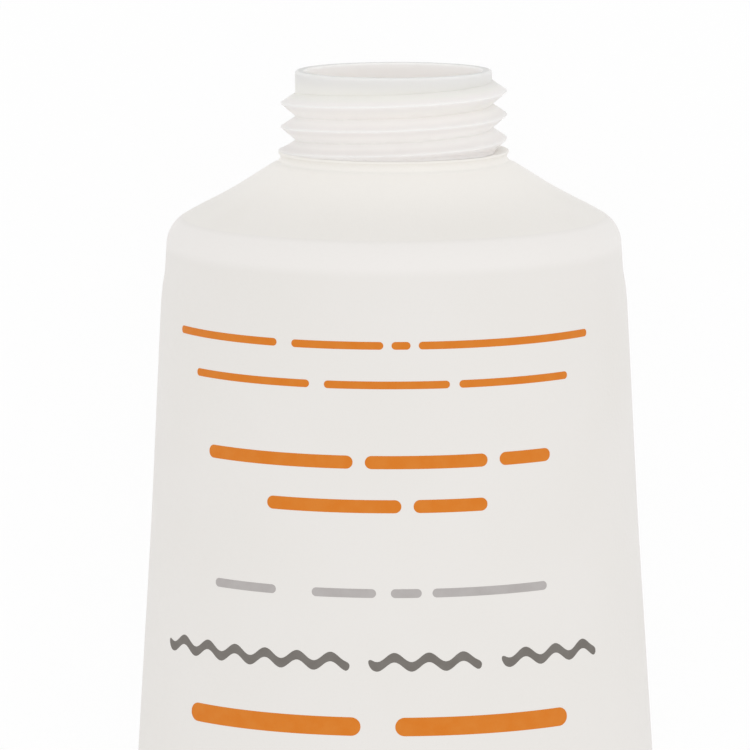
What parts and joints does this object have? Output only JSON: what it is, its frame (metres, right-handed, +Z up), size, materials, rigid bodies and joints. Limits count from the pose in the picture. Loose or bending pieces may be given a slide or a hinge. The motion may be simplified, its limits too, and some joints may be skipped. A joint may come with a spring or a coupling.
{
  "type": "squeeze tube",
  "caption": "Open soft plastic squeeze tube of white cream, lying on its back: round shoulder, short threaded neck with a bead, tapering sleeve and a flat sealed tail.",
  "frame": {"origin": "middle of the tube's footprint, at the lowest point of its back, which is the surface that it lies on", "axes": "+Y along the tube towards its neck, +Z up through its printed front, +X to the right of the neck as seen from above"},
  "size_m": [0.055, 0.167, 0.0353],
  "materials": {
    "sleeve_plastic": "soft satin white, slightly translucent, with printed orange and grey bars",
    "head_plastic": "natural translucent white, low gloss as moulded",
    "cream": "wet off-white"
  },
  "bodies": {
    "root": {"tube_sleeve": "sleeve_plastic", "tube_head": "head_plastic", "cream": "cream"}
  },
  "joints": []
}
